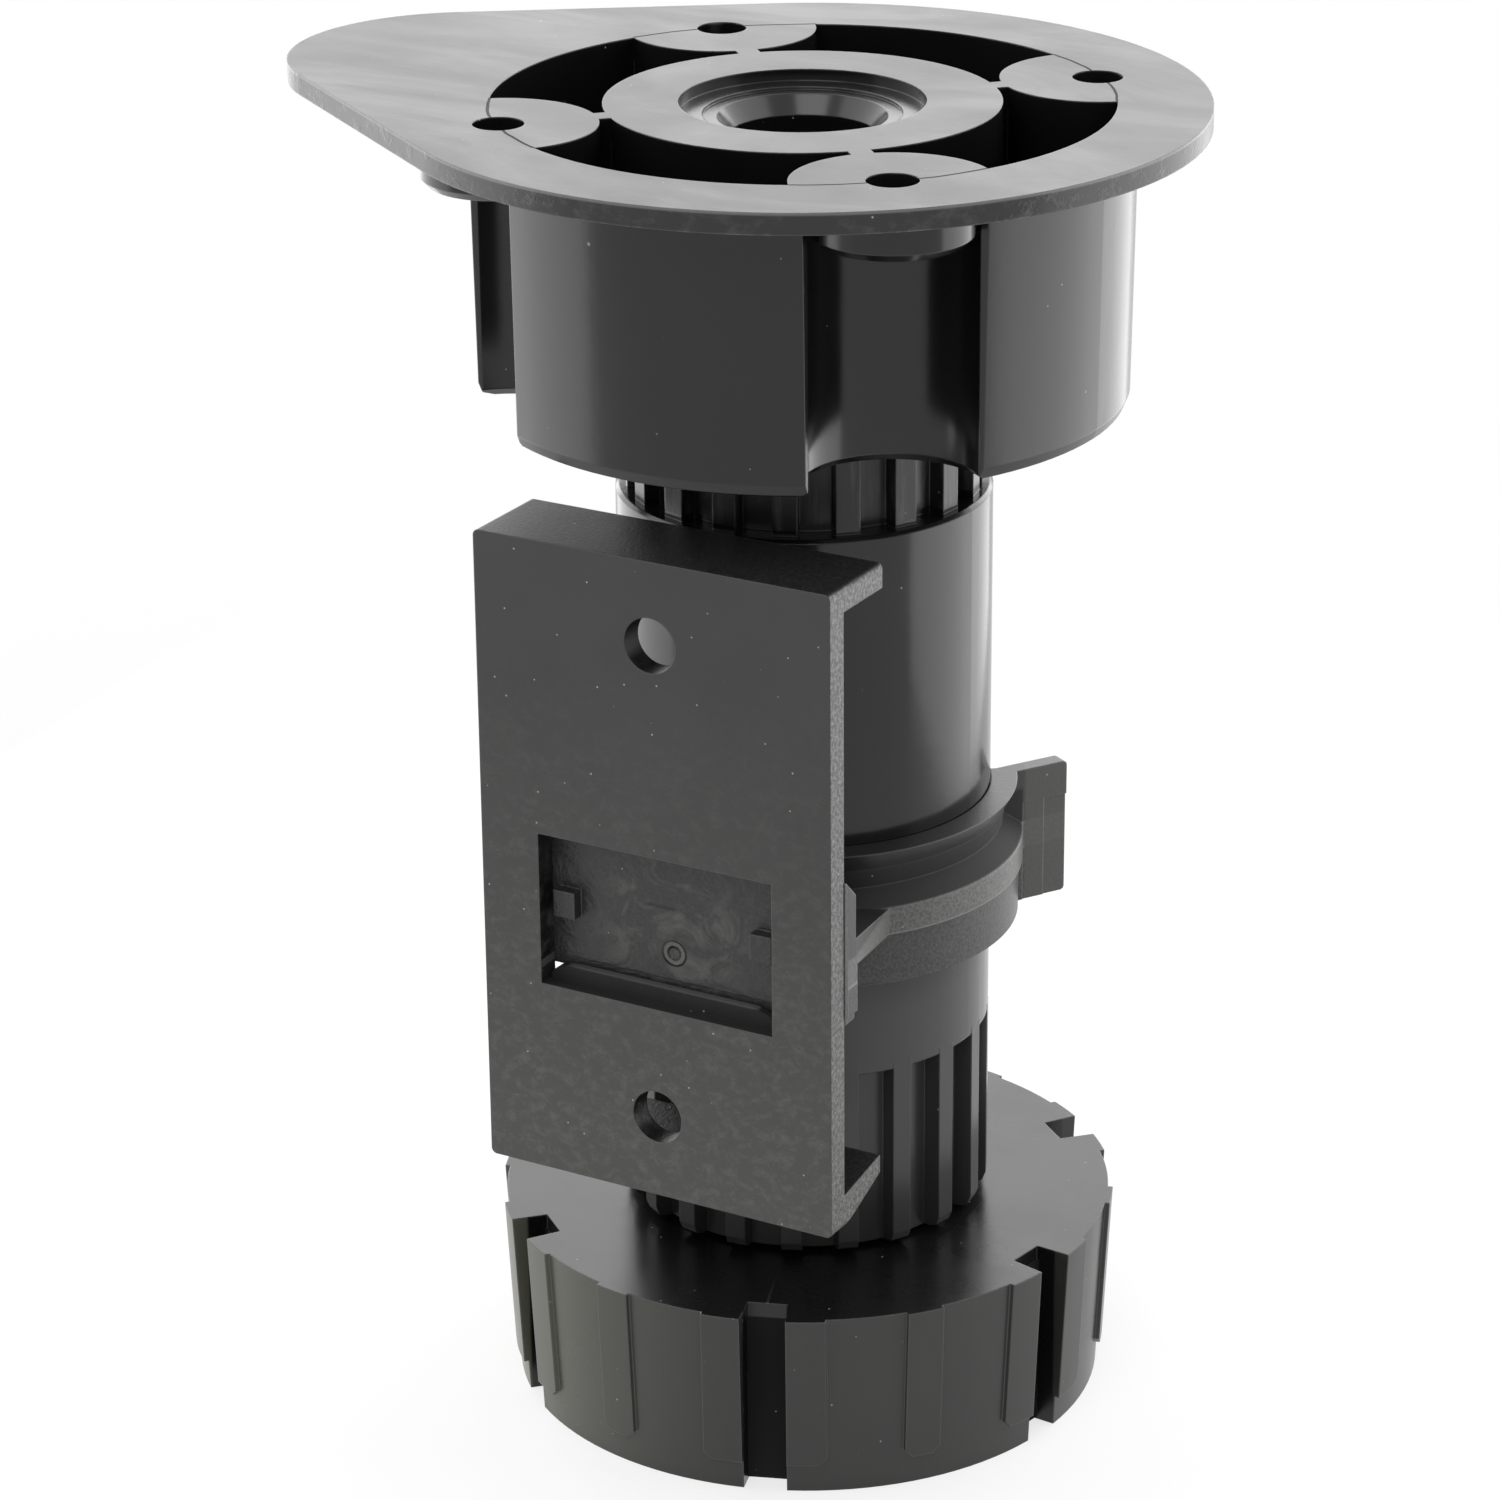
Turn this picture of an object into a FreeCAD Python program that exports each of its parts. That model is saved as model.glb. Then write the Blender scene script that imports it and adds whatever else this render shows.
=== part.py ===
import FreeCAD, Part
import math
import os
import Sketcher

# Adjustable cabinet leg with a clip-on plinth bracket, in millimetres.
# The leg's axis is Z, the sole of the foot is z = 0, and the bracket's plate faces -Y.

SIZES = [
    # Levels, from the floor upwards
    ("disc_height", "20.0", "foot disc, sole to top face"),
    ("seat_gap", "0.5", "gap between the foot disc and the column's ribs"),
    ("column_length", "19.9", "fluted column below the plain tube"),
    ("tube_length", "57.0", "plain tube"),
    ("neck_length", "8.6", "spigot that shows between the tube and the drum"),
    ("drum_length", "27.7", "drum below the flange"),
    ("flange_thick", "2.1", "flange"),
    # Leg
    ("tube_r", "18.75", "plain tube radius"),
    ("tube_edge", "0.35", "bevel round the tube's top rim"),
    ("column_floor_r", "16.8", "floor of the lower flutes"),
    ("column_rib_width", "2.1", "lower rib"),
    ("column_ribs", "20", "number of lower ribs"),
    ("column_turn", "6.0", "azimuth of one lower rib"),
    ("rib_round", "1.3", "rounded lower end of a rib"),
    ("spigot_rib_r", "17.6", "top of the spigot ribs"),
    ("spigot_floor_r", "16.0", "floor of the spigot flutes"),
    ("spigot_rib_width", "2.45", "spigot rib"),
    ("spigot_ribs", "18", "number of spigot ribs"),
    ("spigot_turn", "13.0", "azimuth of one spigot rib"),
    ("rib_root", "0.6", "how far each rib is rooted in the wall"),
    ("press_gap", "0.05", "radial gap of the spigot in the hub"),
    ("roof_gap", "0.1", "gap between the spigot's end and the hub's roof"),
    # Socket
    ("flange_r", "39.5", "round part of the flange"),
    ("lobe_reach", "38.9", "centre of the lobe's tip arc from the axis"),
    ("lobe_r", "17.5", "tip arc of the lobe"),
    ("screw_circle_r", "30.0", "circle of the four screw holes"),
    ("screw_turn", "45.0", "azimuth of the first screw hole"),
    ("screw_hole_r", "2.5", "screw hole"),
    ("island_r", "9.6", "island round a screw hole"),
    ("drum_r", "32.4", "drum under the flange"),
    ("drum_draft", "0.35", "how much the drum narrows to its lower edge"),
    ("drum_edge", "1.5", "rounded lower edge of the drum"),
    ("drum_wall", "2.1", "drum wall"),
    ("drum_floor", "2.0", "floor of the kidney pockets"),
    ("scallop_r", "8.3", "driver scallop in the drum"),
    ("scallop_edge", "0.6", "bevelled upright edges of the scallops"),
    ("scallop_flare", "0.8", "bevel round a scallop's lower end"),
    ("boss_r", "7.6", "boss under each screw hole"),
    ("boss_length", "3.6", "boss below the flange"),
    ("boss_edge", "0.8", "bevelled lower edge of a boss"),
    ("hub_r", "19.3", "hub"),
    ("web_thick", "2.2", "web from the hub to each island"),
    ("roof_thick", "5.0", "roof of the hub"),
    ("recess_r", "12.0", "recess in the hub's top"),
    ("recess_depth", "1.2", "recess depth"),
    ("ledge_r", "9.7", "inner edge of the ledge"),
    ("ledge_depth", "0.3", "step below the ledge"),
    ("funnel_r", "8.3", "wide end of the funnel"),
    ("funnel_depth", "1.8", "depth of the funnel"),
    ("throat_r", "7.0", "hole at the funnel's narrow end"),
    # Foot
    ("disc_r", "31.5", "foot disc at its top face"),
    ("disc_draft", "1.0", "how much the disc narrows to its sole"),
    ("tab_out", "0.5", "how far the grip tabs stand out"),
    ("tab_low", "3.2", "lower end of the grip tabs above the sole"),
    ("tab_corner", "0.8", "broken lower corners of the tabs"),
    ("tab_width", "12.6", "tab that each slot divides"),
    ("strip_width", "3.85", "strip midway between two slots"),
    ("slots", "6", "number of slots"),
    ("slot_inner_r", "28.2", "inner end of a slot"),
    ("slot_width_in", "4.0", "slot at its inner end"),
    ("slot_width_out", "4.75", "slot at the rim"),
    ("foot_turn", "50.9", "azimuth of one slot"),
    ("skirt_thick", "3.0", "skirt of the disc"),
    ("plate_thick", "1.5", "top plate of the disc"),
    ("inner_ring_r", "23.5", "inner ring under the disc"),
    ("inner_ring_thick", "2.0", "inner ring wall"),
    ("inner_ring_lift", "0.6", "inner ring stops short of the floor"),
    ("stem_r", "14.5", "stem"),
    ("stem_wall", "2.5", "stem wall"),
    ("stem_length", "50.0", "stem above the disc"),
    ("stem_edge", "0.8", "bevel at the stem's top"),
    ("stem_gap", "0.05", "radial running gap of the stem"),
    # Clip
    ("clip_low", "51.5", "lower end of the snap ring above the sole"),
    ("clip_gap", "0.08", "radial running gap of the snap ring"),
    ("ring_height", "14.0", "snap ring"),
    ("ring_skirt_r", "21.7", "ring below the band"),
    ("ring_skirt_height", "5.4", "ring below the band"),
    ("band_r", "22.1", "band"),
    ("band_height", "2.8", "band"),
    ("crease_r", "20.0", "waist of the ring above the band"),
    ("crease_rise", "1.7", "rise from the band to the waist"),
    ("lip_r", "21.5", "lip at the ring's top"),
    ("mouth_angle", "112.0", "opening of the snap ring, at the back"),
    ("ear_angle", "58.0", "direction in which the ears flare"),
    ("ear_offset", "8.8", "ear's middle plane from the axis"),
    ("ear_start", "17.6", "ear's root along its own direction"),
    ("ear_end", "25.15", "ear's tip along its own direction"),
    ("ear_thick", "1.8", "ear"),
    ("ear_drop", "0.4", "ear's lower end below the ring"),
    ("ear_round", "0.4", "rounded corners of the ear's tip"),
    ("ear_step", "0.12", "each shallow step on the ear's outer face"),
    ("ear_step_drop", "3.6", "upper edge of the steps below the ear's top"),
    ("ear_step_width", "2.6", "lower step's width from the ear's tip"),
    ("ear_step_root", "20.0", "start of the upper step along the ear's direction"),
    ("base_width", "39.4", "base plate behind the bracket"),
    ("base_low", "53.9", "base plate's lower edge above the sole"),
    ("base_height", "14.2", "base plate"),
    ("base_thick", "2.2", "base plate"),
    ("base_swell", "0.3", "extra thickness of the base's lower part"),
    ("base_swell_height", "6.1", "height of the thicker part"),
    ("base_bevel", "1.9", "bevel along the base's top back edge"),
    ("neck_root", "14.0", "start of the neck in front of the axis"),
    ("neck_root_width", "34.2", "neck at the ring"),
    ("neck_rise", "1.9", "rise of the neck towards the base"),
    ("lug_inner", "9.9", "lug's inner side from the middle"),
    ("lug_width", "2.4", "lug"),
    ("lug_low", "58.6", "lug's underside above the sole"),
    ("lug_height", "2.8", "lug"),
    ("lug_out", "1.3", "how far the lug stands into the window"),
    # Bracket
    ("bracket_back", "27.7", "back of the bracket's plate in front of the axis"),
    ("bracket_thick", "2.6", "bracket's plate"),
    ("bracket_width", "39.2", "bracket"),
    ("bracket_low", "31.4", "bracket's lower edge above the sole"),
    ("bracket_height", "66.8", "bracket"),
    ("bracket_round", "0.6", "rounded corners of the plate"),
    ("lip_out", "7.6", "upper flange behind the plate"),
    ("lip_thick", "2.5", "upper flange"),
    ("shelf_out", "7.3", "lower flange behind the plate"),
    ("shelf_root", "3.5", "lower flange at the plate"),
    ("shelf_rise", "2.9", "rise of the lower flange's underside"),
    ("shelf_tip", "1.9", "lower flange at its back edge"),
    ("window_width", "26.2", "window"),
    ("window_low", "20.25", "window above the bracket's lower edge"),
    ("window_height", "16.05", "window"),
    ("sill_rise", "1.25", "raised back edge of the window's sill"),
    ("sill_flat", "15.0", "flat top of the raised sill"),
    ("sill_foot", "21.8", "foot of the raised sill"),
    ("sill_thick", "1.0", "raised part of the sill, front to back"),
    ("upper_hole_up", "58.3", "upper hole above the bracket's lower edge"),
    ("upper_hole_r", "2.8", "upper hole"),
    ("lower_hole_up", "8.6", "lower hole above the bracket's lower edge"),
    ("lower_hole_r", "2.75", "lower hole"),
]

doc = FreeCAD.newDocument("cabinet_leg")
sheet = doc.addObject("Spreadsheet::Sheet", "sizes")
for row, (alias, text, note) in enumerate(SIZES, start=1):
    sheet.set("A%d" % row, alias.replace("_", " "))
    sheet.set("B%d" % row, text)
    sheet.set("C%d" % row, note)
    sheet.setAlias("B%d" % row, alias)
doc.recompute()


class Size:
    """A length or angle: its value now, and the expression that keeps it up to date."""

    def __init__(self, value, text):
        self.value = float(value)
        self.text = text

    def __add__(self, other):
        other = as_size(other)
        return Size(self.value + other.value, "(%s + %s)" % (self.text, other.text))

    def __sub__(self, other):
        other = as_size(other)
        return Size(self.value - other.value, "(%s - %s)" % (self.text, other.text))

    def __mul__(self, other):
        other = as_size(other)
        return Size(self.value * other.value, "(%s * %s)" % (self.text, other.text))

    def __truediv__(self, other):
        other = as_size(other)
        return Size(self.value / other.value, "(%s / %s)" % (self.text, other.text))

    def __neg__(self):
        return Size(-self.value, "(0 - %s)" % self.text)


def as_size(number):
    """Lets a plain number stand beside named sizes."""
    if isinstance(number, Size):
        return number
    return Size(number, "(%s)" % number)


def size(alias):
    """The named cell of the sheet."""
    return Size(float(sheet.get(alias)), "sizes." + alias)


def cosine(angle):
    return Size(math.cos(math.radians(angle.value)), "cos(%s)" % angle.text)


def sine(angle):
    return Size(math.sin(math.radians(angle.value)), "sin(%s)" % angle.text)


ZERO = as_size(0)


def bind(item, prop, amount):
    item.setExpression(prop, amount.text)


def origin_feature(body, role):
    return [f for f in body.Origin.OriginFeatures if f.Role == role][0]


def new_body(name):
    return doc.addObject("PartDesign::Body", name)


class Drawing:
    """A sketch on one of its body's own planes, with every point held by named sizes."""

    def __init__(self, body, name, role, lift=None, turn=None, shift=None):
        self.body = body
        self.sketch = body.newObject("Sketcher::SketchObject", name)
        self.sketch.AttachmentSupport = [(origin_feature(body, role), "")]
        self.sketch.MapMode = "FlatFace"
        if turn is not None:
            axis = FreeCAD.Vector(0, 0, 1) if role == "XY_Plane" else FreeCAD.Vector(0, 1, 0)
            rotation = FreeCAD.Rotation(axis, turn.value)
            self.sketch.AttachmentOffset = FreeCAD.Placement(FreeCAD.Vector(), rotation)
            bind(self.sketch, "AttachmentOffset.Rotation.Angle", turn)
        if shift is not None:
            bind(self.sketch, "AttachmentOffset.Base.x", shift)
        if lift is not None:
            bind(self.sketch, "AttachmentOffset.Base.z", lift)

    def hold(self, geo, pos, x, y):
        for kind, amount in (("DistanceX", x), ("DistanceY", y)):
            index = self.sketch.addConstraint(
                Sketcher.Constraint(kind, -1, 1, geo, pos, amount.value))
            self.sketch.setExpression("Constraints[%d]" % index, amount.text)

    def radius(self, geo, amount):
        index = self.sketch.addConstraint(Sketcher.Constraint("Radius", geo, amount.value))
        self.sketch.setExpression("Constraints[%d]" % index, amount.text)

    def join(self, geo1, pos1, geo2, pos2):
        self.sketch.addConstraint(Sketcher.Constraint("Coincident", geo1, pos1, geo2, pos2))

    def circle(self, x, y, r):
        centre = FreeCAD.Vector(x.value, y.value, 0)
        shape = Part.Circle(centre, FreeCAD.Vector(0, 0, 1), r.value)
        geo = self.sketch.addGeometry(shape, False)
        self.radius(geo, r)
        self.hold(geo, 3, x, y)

    def outline(self, corners):
        """A closed outline, anticlockwise. A corner is (x, y), or (x, y, kind, size) for a square
        corner that is rounded, softened by two chords, or bevelled."""
        corners = broken_corners(corners)
        ends = []
        count = len(corners)
        for i, corner in enumerate(corners):
            x, y = as_size(corner[0]), as_size(corner[1])
            if len(corner) == 4:
                before = corners[i - 1]
                after = corners[(i + 1) % count]
                way_in = heading(as_size(before[0]), as_size(before[1]), x, y)
                way_out = heading(x, y, as_size(after[0]), as_size(after[1]))
                r = corner[3]
                first = (x - r * way_in[0], y - r * way_in[1])
                last = (x + r * way_out[0], y + r * way_out[1])
                centre = (first[0] + r * way_out[0], first[1] + r * way_out[1])
                ends.append((first, last, centre, r, way_in, way_out))
            else:
                ends.append(((x, y), (x, y), None, None, None, None))
        lines = []
        for i, corner in enumerate(corners):
            start = ends[i][1]
            stop = ends[(i + 1) % count][0]
            a = FreeCAD.Vector(start[0].value, start[1].value, 0)
            b = FreeCAD.Vector(stop[0].value, stop[1].value, 0)
            lines.append(self.sketch.addGeometry(Part.LineSegment(a, b), False))
        for i in range(count):
            line, previous = lines[i], lines[i - 1]
            first, last, centre, r, way_in, way_out = ends[i]
            self.hold(line, 1, last[0], last[1])
            if centre is None:
                self.join(previous, 2, line, 1)
                continue
            self.hold(previous, 2, first[0], first[1])
            middle = FreeCAD.Vector(centre[0].value, centre[1].value, 0)
            full = Part.Circle(middle, FreeCAD.Vector(0, 0, 1), r.value)
            begin = math.atan2(-way_out[1], -way_out[0])
            end = math.atan2(way_in[1], way_in[0])
            if end <= begin:
                end += 2 * math.pi
            arc = self.sketch.addGeometry(Part.ArcOfCircle(full, begin, end), False)
            self.join(previous, 2, arc, 1)
            self.join(arc, 2, line, 1)
            self.radius(arc, r)

    def rectangle(self, x0, y0, x1, y1):
        self.outline([(x0, y0), (x1, y0), (x1, y1), (x0, y1)])


def broken_corners(corners):
    """Spreads each soft or bevelled corner into the ends of its chords."""
    bend = 1 - math.cos(math.radians(45))
    chords = {"soft": ((1, 0), (bend, bend), (0, 1)), "bevel": ((1, 0), (0, 1))}
    points = []
    for i, corner in enumerate(corners):
        if len(corner) < 4 or corner[2] == "round":
            points.append(corner)
            continue
        x, y = as_size(corner[0]), as_size(corner[1])
        before, after = corners[i - 1], corners[(i + 1) % len(corners)]
        way_in = heading(as_size(before[0]), as_size(before[1]), x, y)
        way_out = heading(x, y, as_size(after[0]), as_size(after[1]))
        for back, on in chords[corner[2]]:
            points.append((x + corner[3] * (on * way_out[0] - back * way_in[0]),
                           y + corner[3] * (on * way_out[1] - back * way_in[1])))
    return points


def turned_corner(x, y, r):
    """Two turned steps that round the lower outer corner of a profile."""
    points = []
    for degrees in (0, 45, 90):
        angle = math.radians(degrees)
        points.append((x - r + r * math.sin(angle), y + r - r * math.cos(angle)))
    return points


def heading(x0, y0, x1, y1):
    """Unit direction of a level or upright edge."""
    dx, dy = x1.value - x0.value, y1.value - y0.value
    if abs(dx) > abs(dy):
        return (1 if dx > 0 else -1, 0)
    return (0, 1 if dy > 0 else -1)


def pad(drawing, name, length, both_ways=False, backwards=False):
    feature = drawing.body.newObject("PartDesign::Pad", name)
    feature.Profile = drawing.sketch
    if both_ways:
        feature.SideType = "Symmetric"
    feature.Reversed = backwards
    bind(feature, "Length", length)
    doc.recompute()
    return feature


def pocket(drawing, name, length, both_ways=False, backwards=False):
    before = drawing.body.Tip.Shape.Volume
    feature = drawing.body.newObject("PartDesign::Pocket", name)
    feature.Profile = drawing.sketch
    if both_ways:
        feature.SideType = "Symmetric"
    feature.Reversed = backwards
    bind(feature, "Length", length)
    doc.recompute()
    if feature.Shape.Volume >= before:
        raise RuntimeError(name + " cuts nothing")
    return feature


def revolve(drawing, name, angle=None):
    feature = drawing.body.newObject("PartDesign::Revolution", name)
    feature.Profile = drawing.sketch
    feature.ReferenceAxis = (drawing.sketch, ["V_Axis"])
    if angle is not None:
        bind(feature, "Angle", angle)
    doc.recompute()
    return feature


def groove(drawing, name):
    before = drawing.body.Tip.Shape.Volume
    feature = drawing.body.newObject("PartDesign::Groove", name)
    feature.Profile = drawing.sketch
    feature.ReferenceAxis = (drawing.sketch, ["V_Axis"])
    doc.recompute()
    if feature.Shape.Volume >= before:
        raise RuntimeError(name + " cuts nothing")
    return feature


def polar(body, name, feature, count):
    pattern = body.newObject("PartDesign::PolarPattern", name)
    pattern.Originals = [feature]
    pattern.Axis = (origin_feature(body, "Z_Axis"), [""])
    pattern.Angle = 360
    bind(pattern, "Occurrences", count)
    body.Tip = pattern
    doc.recompute()
    return pattern


def mirrored(body, name, features, role="YZ_Plane"):
    copy = body.newObject("PartDesign::Mirrored", name)
    copy.Originals = features
    copy.MirrorPlane = (origin_feature(body, role), [""])
    body.Tip = copy
    doc.recompute()
    return copy


def dressed(body, name, base, keep, amount, kind="Fillet"):
    """Rounds or bevels the edges of the base feature that keep() picks."""
    names = []
    for index, edge in enumerate(base.Shape.Edges, start=1):
        if keep(edge):
            names.append("Edge%d" % index)
    feature = body.newObject("PartDesign::" + kind, name)
    feature.Base = (base, names)
    bind(feature, "Radius" if kind == "Fillet" else "Size", amount)
    doc.recompute()
    return feature


def upright(edge):
    """True for a straight edge along Z."""
    return len(edge.Vertexes) == 2 and abs(edge.tangentAt(edge.FirstParameter).z) > 0.999


def cylinder(name, radius, low, length, x=ZERO, y=ZERO):
    item = doc.addObject("Part::Cylinder", name)
    bind(item, "Radius", radius)
    bind(item, "Height", length)
    bind(item, "Placement.Base.x", x)
    bind(item, "Placement.Base.y", y)
    bind(item, "Placement.Base.z", low)
    return item


def cone(name, low_radius, high_radius, low, length, x=ZERO, y=ZERO):
    item = doc.addObject("Part::Cone", name)
    bind(item, "Radius1", low_radius)
    bind(item, "Radius2", high_radius)
    bind(item, "Height", length)
    bind(item, "Placement.Base.x", x)
    bind(item, "Placement.Base.y", y)
    bind(item, "Placement.Base.z", low)
    return item


def joined(name, items):
    union = doc.addObject("Part::MultiFuse", name)
    union.Shapes = items
    return union


def cut(name, base, tool):
    result = doc.addObject("Part::Cut", name)
    result.Base = base
    result.Tool = tool
    return result


# Levels that several pieces share
DISC_TOP = size("disc_height")
RIB_LOW = DISC_TOP + size("seat_gap")
TUBE_LOW = RIB_LOW + size("column_length")
TUBE_TOP = TUBE_LOW + size("tube_length")
DRUM_LOW = TUBE_TOP + size("neck_length")
DRUM_TOP = DRUM_LOW + size("drum_length")
TOP = DRUM_TOP + size("flange_thick")
ROOF_LOW = TOP - size("roof_thick")
SPIGOT_TOP = ROOF_LOW - size("roof_gap")
CLIP_LOW = size("clip_low")
PLATE_BACK = -size("bracket_back")
PLATE_FRONT = PLATE_BACK - size("bracket_thick")


def build_leg():
    """Tube, fluted column and fluted spigot round one through bore."""
    body = new_body("leg_body")
    bore = size("stem_r") + size("stem_gap")
    tube_r = size("tube_r")
    edge = size("tube_edge")
    wall = Drawing(body, "leg_section", "XZ_Plane")
    wall.outline([
        (bore, RIB_LOW),
        (size("column_floor_r"), RIB_LOW),
        (size("column_floor_r"), TUBE_LOW),
        (tube_r, TUBE_LOW),
        (tube_r, TUBE_TOP - edge),
        (tube_r - edge, TUBE_TOP),
        (size("spigot_floor_r"), TUBE_TOP),
        (size("spigot_floor_r"), SPIGOT_TOP),
        (bore, SPIGOT_TOP),
    ])
    revolve(wall, "leg_wall")
    root = size("rib_root")
    rib = Drawing(body, "column_rib_profile", "XZ_Plane", turn=size("column_turn"))
    rib.outline([
        (size("column_floor_r") - root, RIB_LOW),
        (tube_r, RIB_LOW, "soft", size("rib_round")),
        (tube_r, TUBE_LOW + root),
        (size("column_floor_r") - root, TUBE_LOW + root),
    ])
    one = pad(rib, "column_rib", size("column_rib_width"), both_ways=True)
    polar(body, "column_rib_set", one, size("column_ribs"))
    rib = Drawing(body, "spigot_rib_profile", "XZ_Plane", turn=size("spigot_turn"))
    rib.outline([
        (size("spigot_floor_r") - root, TUBE_TOP - root),
        (size("spigot_rib_r"), TUBE_TOP - root),
        (size("spigot_rib_r"), SPIGOT_TOP, "bevel", size("rib_round") / 2),
        (size("spigot_floor_r") - root, SPIGOT_TOP),
    ])
    one = pad(rib, "spigot_rib", size("spigot_rib_width"), both_ways=True)
    polar(body, "spigot_rib_set", one, size("spigot_ribs"))
    return body


def screw_points():
    """The four screw axes, a quarter turn apart."""
    points = []
    for quarter in range(4):
        angle = size("screw_turn") + 90 * quarter
        points.append((size("screw_circle_r") * cosine(angle), size("screw_circle_r") * sine(angle)))
    return points


def teardrop(drawing):
    """Flange outline: a large arc and a small one at -X, joined by tangent lines."""
    big, small, reach = size("flange_r"), size("lobe_r"), size("lobe_reach")
    slant = math.acos((big.value - small.value) / reach.value)
    turn = math.pi - slant
    up = FreeCAD.Vector(0, 0, 1)
    centre = FreeCAD.Vector(-reach.value, 0, 0)
    sketch = drawing.sketch
    round_part = sketch.addGeometry(
        Part.ArcOfCircle(Part.Circle(FreeCAD.Vector(), up, big.value), -turn, turn), False)
    tip = sketch.addGeometry(
        Part.ArcOfCircle(Part.Circle(centre, up, small.value), turn, 2 * math.pi - turn), False)
    direction = FreeCAD.Vector(math.cos(turn), math.sin(turn), 0)
    a = FreeCAD.Vector(direction).multiply(big.value)
    b = centre.add(FreeCAD.Vector(direction).multiply(small.value))
    upper = sketch.addGeometry(Part.LineSegment(a, b), False)
    a.y, b.y = -a.y, -b.y
    lower = sketch.addGeometry(Part.LineSegment(b, a), False)
    drawing.join(round_part, 3, -1, 1)
    drawing.radius(round_part, big)
    drawing.hold(tip, 3, -reach, ZERO)
    drawing.radius(tip, small)
    for first, first_end, second, second_end in (
            (round_part, 2, upper, 1), (upper, 2, tip, 1), (tip, 2, lower, 1), (lower, 2, round_part, 1)):
        sketch.addConstraint(Sketcher.Constraint("Tangent", first, first_end, second, second_end))


def build_socket():
    """Flange and drum, then the scallops, bosses, pockets, hub bore and screw holes."""
    body = new_body("socket_blank")
    plate = Drawing(body, "flange_outline", "XY_Plane", lift=DRUM_TOP)
    teardrop(plate)
    pad(plate, "flange", size("flange_thick"))
    drum = Drawing(body, "drum_section", "XZ_Plane")
    low_r = size("drum_r") - size("drum_draft")
    drum.outline([(ZERO, DRUM_LOW)] + turned_corner(low_r, DRUM_LOW, size("drum_edge")) + [
        (size("drum_r"), TOP - size("flange_thick") / 2),
        (ZERO, TOP - size("flange_thick") / 2),
    ])
    revolve(drum, "drum")
    screws = screw_points()
    scallop = Drawing(body, "scallop_outline", "XY_Plane", lift=DRUM_LOW)
    scallop.circle(screws[0][0], screws[0][1], size("scallop_r"))
    one = pocket(scallop, "scallop", size("drum_length"), backwards=True)
    polar(body, "scallop_set", one, as_size(4))
    scallop_r, bevel = size("scallop_r"), size("scallop_edge")
    away, drum_r = size("screw_circle_r"), size("drum_r") - size("drum_draft") / 2
    mouth = (drum_r * drum_r + away * away - scallop_r * scallop_r) / (away * 2)
    rims = Drawing(body, "scallop_rims_outline", "XY_Plane", lift=DRUM_LOW, turn=size("screw_turn"))
    rims.outline([
        (mouth - bevel * 1.5, -(scallop_r - bevel / 2)),
        (mouth + bevel, -(scallop_r + bevel * 2)),
        (mouth + scallop_r, -(scallop_r + bevel * 2)),
        (mouth + scallop_r, scallop_r + bevel * 2),
        (mouth + bevel, scallop_r + bevel * 2),
        (mouth - bevel * 1.5, scallop_r - bevel / 2),
    ])
    one = pocket(rims, "scallop_rims", size("drum_length"), backwards=True)
    polar(body, "scallop_rim_set", one, as_size(4))
    boss = Drawing(body, "boss_outline", "XY_Plane", lift=DRUM_TOP)
    boss.circle(screws[0][0], screws[0][1], size("boss_r"))
    one = pad(boss, "boss", size("boss_length"), backwards=True)
    bosses = polar(body, "boss_set", one, as_size(4))
    boss_low = (DRUM_TOP - size("boss_length")).value
    dressed(body, "boss_rims", bosses,
            lambda edge: abs(edge.BoundBox.ZMin - boss_low) < 1e-6 and abs(edge.BoundBox.ZMax - boss_low) < 1e-6,
            size("boss_edge"), "Chamfer")

    # Kidney pockets: a ring less the screw islands and the webs that tie them to the hub
    pocket_low = DRUM_LOW + size("drum_floor")
    pocket_deep = TOP - pocket_low
    ring = cut("pocket_ring",
               cylinder("pocket_outer", size("drum_r") - size("drum_wall"), pocket_low, pocket_deep),
               cylinder("pocket_inner", size("hub_r"), pocket_low, pocket_deep))
    kept = []
    for number, (x, y) in enumerate(screws, start=1):
        kept.append(cylinder("island_%d" % number, size("island_r"), pocket_low, pocket_deep, x, y))
    webs = new_body("island_webs")
    across = Drawing(webs, "web_outline", "XY_Plane", lift=pocket_low, turn=size("screw_turn"))
    half = size("web_thick") / 2
    across.rectangle(-size("screw_circle_r"), -half, size("screw_circle_r"), half)
    one = pad(across, "web", pocket_deep)
    polar(webs, "web_pair", one, as_size(4))
    kept.append(webs)
    kidneys = cut("kidney_pockets", ring, joined("islands", kept))

    # Hub: bore for the spigot from below, stepped recess and funnel from above
    recess_low = TOP - size("recess_depth")
    ledge_low = recess_low - size("ledge_depth")
    funnel_low = ledge_low - size("funnel_depth")
    hollows = [
        kidneys,
        cylinder("spigot_bore", size("spigot_rib_r") + size("press_gap"), DRUM_LOW, ROOF_LOW - DRUM_LOW),
        cylinder("recess", size("recess_r"), recess_low, size("recess_depth")),
        cylinder("ledge", size("ledge_r"), ledge_low, size("recess_depth") + size("ledge_depth")),
        cone("funnel", size("throat_r"), size("funnel_r"), funnel_low, size("funnel_depth")),
        cylinder("throat", size("throat_r"), ROOF_LOW, size("roof_thick")),
    ]
    for number, (x, y) in enumerate(screws, start=1):
        low = DRUM_TOP - size("boss_length")
        hollows.append(cylinder("screw_hole_%d" % number, size("screw_hole_r"), low, TOP - low, x, y))
        flare = size("scallop_flare")
        hollows.append(cone("scallop_flare_%d" % number, scallop_r + flare, scallop_r, DRUM_LOW, flare, x, y))
    return cut("mounting_socket", body, joined("socket_hollows", hollows))


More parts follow.
